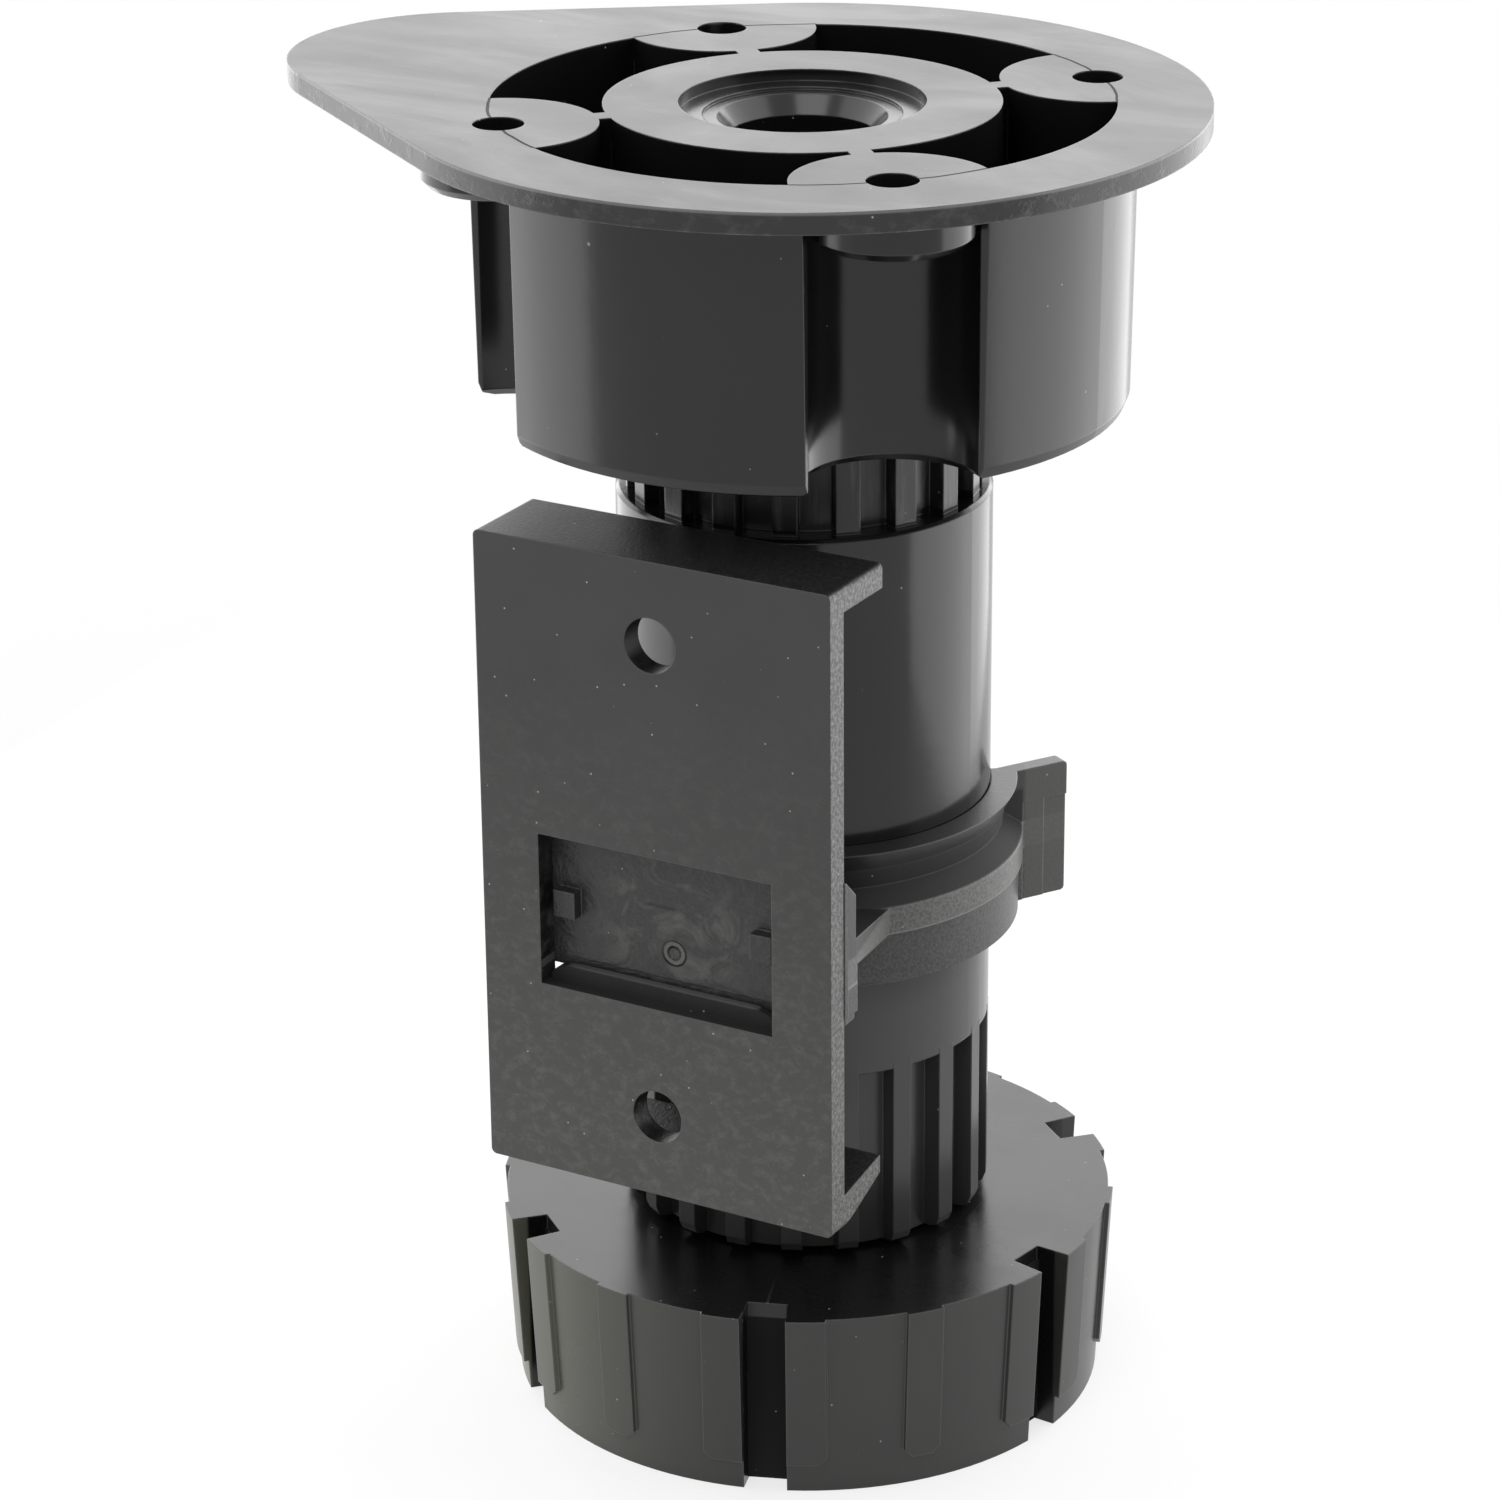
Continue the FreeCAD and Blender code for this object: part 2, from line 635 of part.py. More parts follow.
def build_foot():
    """Castellated disc with grip tabs, inner ring and hollow stem."""
    body = new_body("foot")
    stem_r = size("stem_r")
    bore = stem_r - size("stem_wall")
    edge = size("stem_edge")
    disc_r = size("disc_r")
    sole_r = disc_r - size("disc_draft")
    skirt_inner = sole_r + size("disc_draft") / 2 - size("skirt_thick")
    under = DISC_TOP - size("plate_thick")
    ring_r = size("inner_ring_r")
    ring_inner = ring_r - size("inner_ring_thick")
    stem_top = DISC_TOP + size("stem_length")
    wall = Drawing(body, "foot_section", "XZ_Plane")
    wall.outline([
        (bore, under),
        (ring_inner, under),
        (ring_inner, size("inner_ring_lift")),
        (ring_r, size("inner_ring_lift")),
        (ring_r, under),
        (skirt_inner, under),
        (skirt_inner, ZERO),
        (sole_r, ZERO),
        (disc_r, DISC_TOP),
        (stem_r, DISC_TOP),
        (stem_r, stem_top - edge),
        (stem_r - edge, stem_top),
        (bore, stem_top),
    ])
    revolve(wall, "foot_wall")
    # Grip tabs stand on the skirt and are turned down to its slope
    inside = skirt_inner + size("skirt_thick") / 3
    outside = size("tab_out") * 4 + size("skirt_thick")
    corner = size("tab_corner")
    for name, width, turn in (("tab", size("tab_width"), None),
                              ("strip", size("strip_width"), as_size(180) / size("slots"))):
        face = Drawing(body, name + "_outline", "YZ_Plane", lift=inside, turn=turn)
        if turn is not None:
            bind(face.sketch, "AttachmentOffset.Base.x", inside * sine(turn))
            bind(face.sketch, "AttachmentOffset.Base.z", inside * cosine(turn))
        half = width / 2
        face.outline([
            (-half, size("tab_low"), "bevel", corner),
            (half, size("tab_low"), "bevel", corner),
            (half, DISC_TOP),
            (-half, DISC_TOP),
        ])
        one = pad(face, name, outside)
        polar(body, name + "_set", one, size("slots"))
    trim = Drawing(body, "tab_trim", "XZ_Plane")
    far = disc_r + size("skirt_thick") * 3
    trim.outline([
        (sole_r + size("tab_out"), ZERO),
        (far, ZERO),
        (far, DISC_TOP),
        (disc_r + size("tab_out"), DISC_TOP),
    ])
    groove(trim, "tab_slope")
    slot = Drawing(body, "slot_outline", "XY_Plane")
    half_in = size("slot_width_in") / 2
    half_out = size("slot_width_out") / 2
    rim = disc_r + size("tab_out") * 2
    slot.outline([
        (size("slot_inner_r"), -half_in),
        (rim, -half_out),
        (rim, half_out),
        (size("slot_inner_r"), half_in),
    ])
    one = pocket(slot, "slot", DISC_TOP, backwards=True)
    polar(body, "slot_set", one, size("slots"))
    turned = FreeCAD.Rotation(FreeCAD.Vector(0, 0, 1), size("foot_turn").value)
    body.Placement = FreeCAD.Placement(FreeCAD.Vector(), turned)
    bind(body, "Placement.Rotation.Angle", size("foot_turn"))
    return body


def hollow_curve(x0, y0, x1, y1):
    """Points of a wall that rises upright from (x0, y0) and flares to (x1, y1)."""
    points = []
    for share in (0.5,):
        points.append((x0 + (x1 - x0) * share ** 2, y0 + (y1 - y0) * share))
    return points


def build_clip():
    """Snap ring with ears, neck and the base plate behind the bracket."""
    body = new_body("plinth_clip")
    bore = size("tube_r") + size("clip_gap")
    band_low = CLIP_LOW + size("ring_skirt_height")
    band_top = band_low + size("band_height")
    crease = band_top + size("crease_rise")
    ring_top = CLIP_LOW + size("ring_height")
    start = as_size(90) + size("mouth_angle") / 2
    base_low = size("base_low")
    base_top = base_low + size("base_height")
    back = PLATE_BACK + size("base_thick")
    swell = back + size("base_swell")
    # Neck between the ring's band and the base, wider towards the base
    root = ZERO - size("neck_root")
    rise = size("neck_rise")
    neck = Drawing(body, "neck_section", "YZ_Plane")
    neck.outline([
        (back, band_low + rise),
        (root, band_low),
        (root, band_top),
        (back, band_top + rise),
    ])
    pad(neck, "neck", size("base_width"), both_ways=True)
    side = Drawing(body, "neck_side_outline", "XY_Plane", lift=band_low)
    half = size("base_width") / 2
    side.outline([
        (size("neck_root_width") / 2, root),
        (half, back),
        (half + size("base_thick"), back),
        (half + size("base_thick"), root),
    ])
    one = pocket(side, "neck_side", size("band_height") + rise, backwards=True)
    mirrored(body, "neck_sides", [one])
    ring = Drawing(body, "ring_section", "XZ_Plane", turn=start)
    ring.outline([
        (bore, CLIP_LOW),
        (size("ring_skirt_r"), CLIP_LOW),
        (size("ring_skirt_r"), band_low),
        (size("band_r"), band_low),
        (size("band_r"), band_top),
        (size("crease_r"), crease),
    ] + hollow_curve(size("crease_r"), crease, size("lip_r"), ring_top) + [
        (size("lip_r"), ring_top),
        (bore, ring_top),
    ])
    revolve(ring, "ring", as_size(360) - size("mouth_angle"))
    # Base plate, thicker below, bevelled along its top back edge
    base = Drawing(body, "base_section", "YZ_Plane")
    base.outline([
        (PLATE_BACK, base_low),
        (swell, base_low),
        (swell, base_low + size("base_swell_height")),
        (back, base_low + size("base_swell_height")),
        (back, base_top - size("base_bevel")),
        (back - size("base_bevel"), base_top),
        (PLATE_BACK, base_top),
    ])
    pad(base, "base", size("base_width"), both_ways=True)
    hole = Drawing(body, "ring_bore_outline", "XY_Plane", lift=CLIP_LOW)
    hole.circle(ZERO, ZERO, bore)
    pocket(hole, "ring_bore", size("ring_height"), backwards=True)
    # Ears flare outwards at the two ends of the ring
    angle = size("ear_angle")
    offset = size("ear_offset")
    ear = Drawing(body, "ear_outline", "XZ_Plane", turn=angle,
                  lift=offset * cosine(angle), shift=offset * sine(angle))
    corner = size("ear_round")
    ear.outline([
        (size("ear_start"), CLIP_LOW - size("ear_drop")),
        (size("ear_end"), CLIP_LOW - size("ear_drop"), "soft", corner),
        (size("ear_end"), ring_top, "soft", corner),
        (size("ear_start"), ring_top),
    ])
    one = pad(ear, "ear", size("ear_thick"), both_ways=True)
    face = offset + size("ear_thick") / 2
    step_top = ring_top - size("ear_step_drop")
    beyond = size("ear_end") + size("ear_thick")
    steps = []
    for name, inner, deep in (("ear_upper_step", size("ear_step_root"), size("ear_step")),
                              ("ear_lower_step", size("ear_end") - size("ear_step_width"), size("ear_step") * 2)):
        step = Drawing(body, name + "_outline", "XZ_Plane", turn=angle,
                       lift=face * cosine(angle), shift=face * sine(angle))
        step.rectangle(inner, CLIP_LOW - size("ear_thick"), beyond, step_top)
        steps.append(pocket(step, name, deep))
    mirrored(body, "ear_pair", [one] + steps)
    # Lugs that stand into the bracket's window
    lug = Drawing(body, "lug_outline", "XZ_Plane", lift=-PLATE_BACK)
    low = size("lug_low")
    inner = size("lug_inner")
    lug.rectangle(inner, low, inner + size("lug_width"), low + size("lug_height"))
    one = pad(lug, "lug", size("lug_out"))
    mirrored(body, "lug_pair", [one])
    return body


def build_bracket():
    """C-shaped plate with two flanges, a window and two screw holes."""
    body = new_body("plinth_bracket")
    low = size("bracket_low")
    top = low + size("bracket_height")
    lip_back = PLATE_BACK + size("lip_out")
    shelf_back = PLATE_BACK + size("shelf_out")
    section = Drawing(body, "bracket_section", "YZ_Plane")
    section.outline([
        (PLATE_FRONT, low),
        (PLATE_BACK, low),
        (shelf_back, low + size("shelf_rise")),
        (shelf_back, low + size("shelf_rise") + size("shelf_tip")),
        (PLATE_BACK, low + size("shelf_root")),
        (PLATE_BACK, top - size("lip_thick")),
        (lip_back, top - size("lip_thick")),
        (lip_back, top),
        (PLATE_FRONT, top),
    ])
    channel = pad(section, "bracket_channel", size("bracket_width"), both_ways=True)
    dressed(body, "bracket_corners", channel,
            lambda edge: abs(edge.tangentAt(edge.FirstParameter).y) > 0.999
            and (edge.BoundBox.ZMin > top.value - 1e-6 or edge.BoundBox.ZMax < low.value + 1e-6),
            size("bracket_round"))
    lift = -PLATE_FRONT
    window = Drawing(body, "window_outline", "XZ_Plane", lift=lift)
    half = size("window_width") / 2
    sill = low + size("window_low")
    window.rectangle(-half, sill, half, sill + size("window_height"))
    pocket(window, "window", size("bracket_thick"))
    # Raised back edge of the sill
    hump = Drawing(body, "sill_outline", "XZ_Plane", lift=-PLATE_BACK)
    flat = size("sill_flat") / 2
    toe = size("sill_foot") / 2
    hump.outline([
        (-toe, sill - size("sill_rise") / 2),
        (toe, sill - size("sill_rise") / 2),
        (toe, sill + size("sill_rise") / 3),
        (flat, sill + size("sill_rise")),
        (-flat, sill + size("sill_rise")),
        (-toe, sill + size("sill_rise") / 3),
    ])
    pad(hump, "sill", size("sill_thick"))
    upper = Drawing(body, "upper_hole_outline", "XZ_Plane", lift=lift)
    upper.circle(ZERO, low + size("upper_hole_up"), size("upper_hole_r"))
    pocket(upper, "upper_hole", size("bracket_thick"))
    lower = Drawing(body, "lower_hole_outline", "XZ_Plane", lift=lift)
    lower.circle(ZERO, low + size("lower_hole_up"), size("lower_hole_r"))
    pocket(lower, "lower_hole", size("bracket_thick"))
    return body


PIECES = {
    "mounting_socket": build_socket(),
    "leg_body": build_leg(),
    "foot": build_foot(),
    "plinth_clip": build_clip(),
    "plinth_bracket": build_bracket(),
}
for node, piece in PIECES.items():
    piece.Label = node
doc.recompute()

for item in doc.Objects:
    if "Invalid" in item.State or "Error" in item.State:
        raise RuntimeError("%s could not be built: %s" % (item.Name, item.State))
for node, piece in PIECES.items():
    shape = piece.Shape
    if shape.isNull() or not shape.isValid():
        raise RuntimeError(node + " has no valid shape")
    print("%-16s solids %d  volume %.1f  box %s" % (node, len(shape.Solids), shape.Volume, shape.BoundBox))

os.makedirs("parts", exist_ok=True)
for node, piece in PIECES.items():
    piece.Shape.exportStep("parts/%s.step" % node)
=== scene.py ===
import math

import bmesh
import bpy
from mathutils import Matrix, Vector


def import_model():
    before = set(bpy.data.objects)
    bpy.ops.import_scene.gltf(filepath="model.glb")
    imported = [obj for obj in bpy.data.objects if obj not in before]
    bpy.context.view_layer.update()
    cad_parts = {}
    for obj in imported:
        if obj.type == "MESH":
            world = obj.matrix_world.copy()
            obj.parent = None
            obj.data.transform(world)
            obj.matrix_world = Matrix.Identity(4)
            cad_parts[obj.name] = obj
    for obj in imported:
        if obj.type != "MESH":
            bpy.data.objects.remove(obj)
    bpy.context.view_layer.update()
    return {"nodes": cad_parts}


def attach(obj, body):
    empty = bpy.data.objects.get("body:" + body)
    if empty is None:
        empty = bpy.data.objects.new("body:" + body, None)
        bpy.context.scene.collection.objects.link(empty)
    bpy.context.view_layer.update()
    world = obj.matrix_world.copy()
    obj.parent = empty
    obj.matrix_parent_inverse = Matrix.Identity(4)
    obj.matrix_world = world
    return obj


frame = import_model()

NODES = frame["nodes"]

# The photograph's view: the part's turn, the lens's tilt in radians, and its place in metres
TURN = math.radians(29.2)
YAW, PITCH, ROLL = -0.0120, 0.3851, -0.0092
LENS_AT = (0, -0.46903, 0.25841)
SENSOR_MM = 36
FOCAL_PX = 4992.24
PHOTO_PX = 1500

# Where the finishes change over the part, in metres. First the socket: its flange, rim, drum, the
# pockets' outer circle, the islands round the screw holes, and the lobe
FLANGE_TOP_FROM, FLANGE_HIGHLIGHT_FROM, FLANGE_LOW = 0.1352, 0.13555, 0.1336
FLANGE_RIM_FROM = 0.0325
DRUM_TOP = 0.1335
POCKET_R = 0.0303
ISLAND_AT, ISLAND_R = 0.02121, 0.0096
LOBE_FROM = -0.022
# The leg: its spigot, the end of its tube painted greyer as a floor reflection, and its fluted column
SPIGOT_LOW = 0.0980
TUBE_REFLECTION_LOW = 0.0500
COLUMN_TOP = 0.0403
# The foot: its rim, the inner ends of its slots under the disc's plate, its stem, and a scratch
FOOT_SIDE_FROM = 0.0304
SLOT_END_R, PLATE_LOW = 0.0282, 0.0184
STEM_WITHIN, STEM_LOW = 0.0148, 0.0205
THREAD_PITCH = 0.003
SCRATCH_WAY, SCRATCH_FROM = math.radians(-69.1), 0.023
# The clip: the base's front face, the ring's band and hollow, its ears, and the marks on the base
BASE_FACE = -0.0270
BAND_LOW, BAND_TOP, HOLLOW_TOP = 0.0569, 0.0598, 0.0636
HOLLOW_WITHIN, EARS_FROM = 0.0222, 0.0224
MARKS_AT, MARKS_R = (0.0005, 0.0590), 0.0075
GATE_AT, GATE_R = (0.0007, 0.0568), 0.0010
SLIT_AT = (-0.0007, 0.0615)
# The bracket: its sides, the rubbed lower half, and the window with its sill
BRACKET_SIDE = 0.0193
RUB_FROM, RUB_FULL = 0.088, 0.036
WINDOW_HALF, WINDOW_FRONT = 0.01314, -0.03022
SILL_LOW, SILL_HIGHLIGHT_FROM, SILL_TOP = 0.0500, 0.05328, 0.0541

# Half the width over which a mask ends, and the radius of softened edges, in metres
CRISP, SOFT = 0.0001, 0.0002
EDGE_RADIUS = 0.00022

# Strength of the world on the object, and where it is seen
PLAIN_LIGHT, FULL_WHITE = 0.4, 1.0
# The floor's half width, and how its white comes back from the shadow, over a distance in metres
FLOOR_HALF = 3.0
SHADOW_NEAR, SHADOW_FAR, SHADOW_WHITE = 0.08, 0.30, 0.72

SEEN_RAYS = ("Is Camera Ray", "Is Glossy Ray", "Is Transmission Ray")


def grey(level, warm=0.0):
    """A grey with a little less blue."""
    return (level, level, level - warm)


class Tree:
    """Builds shader nodes for a material or a world."""

    def __init__(self, owner, output):
        owner.use_nodes = True
        self.nodes = owner.node_tree.nodes
        self.links = owner.node_tree.links
        self.nodes.clear()
        self.out = self.add(output)

    def add(self, kind, **values):
        node = self.nodes.new(kind)
        for key, value in values.items():
            setattr(node, key, value)
        return node

    def link(self, source, target):
        self.links.new(source, target)

    def feed(self, socket, value):
        """Sets a number or a colour, or links a socket."""
        if isinstance(value, (int, float)):
            socket.default_value = value
        elif isinstance(value, tuple):
            socket.default_value = value + (1.0,) * (len(socket.default_value) - len(value))
        else:
            self.link(value, socket)

    def fill(self, node, values):
        for name, value in values.items():
            self.feed(node.inputs[name], value)

    def split(self, vector):
        node = self.add("ShaderNodeSeparateXYZ")
        self.link(vector, node.inputs[0])
        return node.outputs

    def math(self, kind, a, b=0.0, c=None):
        node = self.add("ShaderNodeMath", operation=kind)
        self.feed(node.inputs[0], a)
        self.feed(node.inputs[1], b)
        if c is not None:
            self.feed(node.inputs[2], c)
        return node.outputs[0]

    def times(self, first, *others):
        for other in others:
            first = self.math("MULTIPLY", first, other)
        return first

    def plus(self, first, *others):
        for other in others:
            first = self.math("ADD", first, other)
        return first

    def outside(self, mask):
        """One where the mask is nothing."""
        return self.math("SUBTRACT", 1.0, mask)

    def size_of(self, source):
        return self.math("ABSOLUTE", source)

    def distance(self, a, b, at=(0.0, 0.0)):
        """Distance from a line that stands at a point of two coordinates."""
        a, b = self.math("SUBTRACT", a, at[0]), self.math("SUBTRACT", b, at[1])
        return self.math("SQRT", self.plus(self.times(a, a), self.times(b, b)))

    def span(self, source, low, high, to_low=0.0, to_high=1.0, smooth=False):
        node = self.add("ShaderNodeMapRange")
        if smooth:
            node.interpolation_type = "SMOOTHSTEP"
        self.fill(node, {"From Min": low, "From Max": high, "To Min": to_low, "To Max": to_high,
                         "Value": source})
        return node.outputs["Result"]

    def near(self, source, value, half, soft):
        """One within half of a value, falling to nothing over soft."""
        off = self.size_of(self.math("SUBTRACT", source, value))
        return self.span(off, half, half + soft, 1.0, 0.0, smooth=True)

    def above(self, source, value, soft):
        return self.span(source, value - soft, value + soft, smooth=True)

    def below(self, source, value, soft):
        return self.span(source, value - soft, value + soft, 1.0, 0.0, smooth=True)

    def seen_rays(self):
        """One for a ray from the lens, in a gloss or through glass."""
        paths = self.add("ShaderNodeLightPath")
        seen = paths.outputs[SEEN_RAYS[0]]
        for kind in SEEN_RAYS[1:]:
            seen = self.math("MAXIMUM", seen, paths.outputs[kind])
        return seen


class Surface(Tree):
    """A material, with the coordinates and the normal in the part's frame."""

    def __init__(self, name):
        self.material = bpy.data.materials.new(name)
        super().__init__(self.material, "ShaderNodeOutputMaterial")
        inputs = self.add("ShaderNodeTexCoord")
        self.coords = inputs.outputs["Object"]
        self.x, self.y, self.z = self.split(self.coords)
        normal = self.split(inputs.outputs["Normal"])
        self.nx, self.nz = normal[0], normal[2]
        self.radius = self.distance(self.x, self.y)

    def facing_up(self):
        """One on flat tops."""
        return self.above(self.nz, 0.8, 0.1)

    def scaled(self, x, y, z):
        """The coordinates stretched along the three axes."""
        node = self.add("ShaderNodeVectorMath", operation="MULTIPLY")
        self.link(self.coords, node.inputs[0])
        node.inputs[1].default_value = (x, y, z)
        return node.outputs[0]

    def noise(self, scale, detail=3.0, rough=0.55, coords=None, twist=0.0):
        node = self.add("ShaderNodeTexNoise")
        self.fill(node, {"Scale": scale, "Detail": detail, "Roughness": rough, "Distortion": twist,
                         "Vector": coords or self.coords})
        return node.outputs["Fac"]

    def specks(self, spacing, size, share):
        """Round grains of a size, one to a spacing, of which a share is kept."""
        node = self.add("ShaderNodeTexVoronoi")
        self.fill(node, {"Scale": 1 / spacing, "Vector": self.coords})
        shade = self.add("ShaderNodeSeparateColor")
        self.link(node.outputs["Color"], shade.inputs[0])
        grain = self.span(node.outputs["Distance"], size / spacing * 0.5, size / spacing, 1.0, 0.0)
        kept = self.math("LESS_THAN", shade.outputs[0], share)
        return self.times(grain, kept, shade.outputs[1])

    def mix(self, mask, first, second):
        node = self.add("ShaderNodeMix", data_type="RGBA")
        for socket, value in ((0, mask), (6, first), (7, second)):
            self.feed(node.inputs[socket], value)
        return node.outputs[2]


class Plastic(Surface):
    """Black moulded plastic: uneven tone and gloss, softened edges, grain, dust and scuffs."""

    def __init__(self, name, base, rough):
        super().__init__(name)
        self.shader = self.add("ShaderNodeBsdfPrincipled")
        self.link(self.shader.outputs[0], self.out.inputs["Surface"])
        self.shader.inputs["IOR"].default_value = 1.47
        soft = self.add("ShaderNodeBevel", samples=6)
        soft.inputs["Radius"].default_value = EDGE_RADIUS
        self.normal = soft.outputs[0]
        facing = self.add("ShaderNodeVectorMath", operation="DOT_PRODUCT")
        self.link(self.normal, facing.inputs[0])
        self.link(self.add("ShaderNodeNewGeometry").outputs["Normal"], facing.inputs[1])
        # One along the edges, where the softened normal leaves the face; the materials paint highlights there
        self.edges = self.span(facing.outputs["Value"], 0.995, 0.90)
        cloud = self.noise(55.0, detail=4.0)
        lighter = tuple(c * 1.35 for c in base)
        self.colour = self.mix(self.span(cloud, 0.3, 0.7), base, lighter)
        self.rough = self.span(cloud, 0.3, 0.7, rough - 0.02, rough + 0.03)

    def tint(self, mask, colour):
        self.colour = self.mix(mask, self.colour, colour)

    def dull(self, mask, amount):
        """Adds to the roughness where the mask is."""
        self.rough = self.plus(self.rough, self.times(mask, amount))

    def relief(self, height, strength, distance):
        """Raises the surface by a bump, over what is there."""
        node = self.add("ShaderNodeBump")
        self.fill(node, {"Strength": strength, "Distance": distance, "Height": height, "Normal": self.normal})
        self.normal = node.outputs["Normal"]

    def dust(self, share, spacing):
        """Pale specks, some fine and some coarser."""
        fine = self.specks(spacing, 0.00012, share)
        coarse = self.specks(0.0075, 0.00022, share)
        self.tint(self.times(fine, 0.9), (0.45, 0.45, 0.43))
        self.tint(self.times(coarse, 0.9), (0.40, 0.40, 0.38))

    def finish(self):
        self.link(self.colour, self.shader.inputs["Base Color"])
        self.link(self.rough, self.shader.inputs["Roughness"])
        self.link(self.normal, self.shader.inputs["Normal"])
        return self.material


def socket_material():
    t = Plastic("socket_black", base=(0.005, 0.005, 0.0052), rough=0.19)
    flat = t.times(t.above(t.z, FLANGE_TOP_FROM, SOFT), t.facing_up())
    t.tint(t.times(flat, 0.6), grey(0.030))
    t.dull(flat, 0.13)
    # Moulding seams across the screw islands, on the pockets' outer circle
    from_hole = t.distance(t.size_of(t.x), t.size_of(t.y), at=(ISLAND_AT, ISLAND_AT))
    island = t.below(from_hole, ISLAND_R, SOFT)
    wander = t.math("MULTIPLY_ADD", t.noise(160.0, detail=2.0), 0.0008, -0.0004)
    seam = t.times(t.near(t.plus(t.radius, wander), POCKET_R, 0.00006, 0.00014), island, flat)
    t.dull(seam, 0.45)
    t.relief(t.times(seam, -1.0), strength=1.0, distance=0.0004)
    # Flow marks of the moulding on the top: long on the lobe, round on the rim
    flow = t.noise(34.0, detail=5.0, rough=0.62, coords=t.scaled(0.6, 1.6, 1), twist=1.8)
    t.dull(t.times(t.span(flow, 0.35, 0.7), flat), 0.10)
    t.tint(t.times(t.span(flow, 0.52, 0.72), flat, 0.5), grey(0.05))
    lobe = t.below(t.x, LOBE_FROM, 0.006)
    streak = t.noise(150.0, rough=0.6, coords=t.scaled(0.18, 1.0, 1), twist=0.5)
    t.tint(t.times(t.span(streak, 0.52, 0.66), flat, lobe, 0.5), grey(0.07))
    # Rubbed and chipped rim, with a painted highlight along its edges that is stronger at the chips and a
    # painted highlight line along its top edge; painted highlights on the drum's edges
    rim = t.times(t.above(t.z, FLANGE_LOW, CRISP), t.outside(flat), t.above(t.radius, FLANGE_RIM_FROM, SOFT))
    chips = t.span(t.noise(420.0, detail=4.0, rough=0.7, coords=t.scaled(1, 1, 1.5)), 0.50, 0.70)
    t.tint(t.times(rim, 0.5), grey(0.022))
    t.tint(t.times(rim, chips, 0.40), grey(0.08))
    # Painted highlight along the rim's edges, brighter where chipped
    t.tint(t.times(t.edges, rim, t.span(chips, 0.0, 1.0, 0.3, 1.0), 0.7), grey(0.30, warm=0.005))
    # Painted highlight line along the rim's top edge
    t.tint(t.times(rim, t.above(t.z, FLANGE_HIGHLIGHT_FROM, 0.00012), 0.8), grey(0.16))
    t.dull(rim, 0.10)
    t.relief(t.times(rim, chips), strength=0.20, distance=0.0002)
    # Painted highlights on the drum's edges
    t.tint(t.times(t.edges, t.below(t.z, DRUM_TOP, CRISP), 0.5), grey(0.045))
    # Fine upright drawing marks on the drum, soft waves and grain
    upright = t.noise(1400.0, detail=2.0, rough=0.6, coords=t.scaled(1, 1, 0.03))
    t.relief(upright, strength=0.05, distance=0.00006)
    t.relief(t.noise(150.0), strength=0.10, distance=0.00025)
    grain = t.times(t.noise(2400.0, detail=2.0), t.span(flat, 0.0, 1.0, 0.25, 1.0))
    t.relief(grain, strength=0.22, distance=0.00004)
    t.dust(share=0.45, spacing=0.0022)
    return t.finish()


def leg_material():
    t = Plastic("leg_black", base=(0.006, 0.006, 0.0062), rough=0.16)
    spigot = t.above(t.z, SPIGOT_LOW, SOFT)
    scratch = t.noise(900.0, rough=0.7, coords=t.scaled(1, 1, 0.12))
    t.tint(t.times(t.span(scratch, 0.5, 0.66), spigot, 0.5), grey(0.06))
    t.dull(spigot, 0.14)
    # Painted greyer below the clip, as a reflection of the floor; duller on the fluted column
    t.tint(t.below(t.z, TUBE_REFLECTION_LOW, 0.004), grey(0.036, warm=0.0005))
    t.dull(t.below(t.z, COLUMN_TOP, SOFT), 0.08)
    t.relief(t.noise(90.0), strength=0.12, distance=0.0004)
    upright = t.noise(1300.0, detail=2.0, rough=0.6, coords=t.scaled(1, 1, 0.04))
    t.relief(upright, strength=0.06, distance=0.00006)
    t.relief(t.noise(2200.0, detail=2.0), strength=0.08, distance=0.00003)
    t.dust(share=0.35, spacing=0.0022)
    return t.finish()


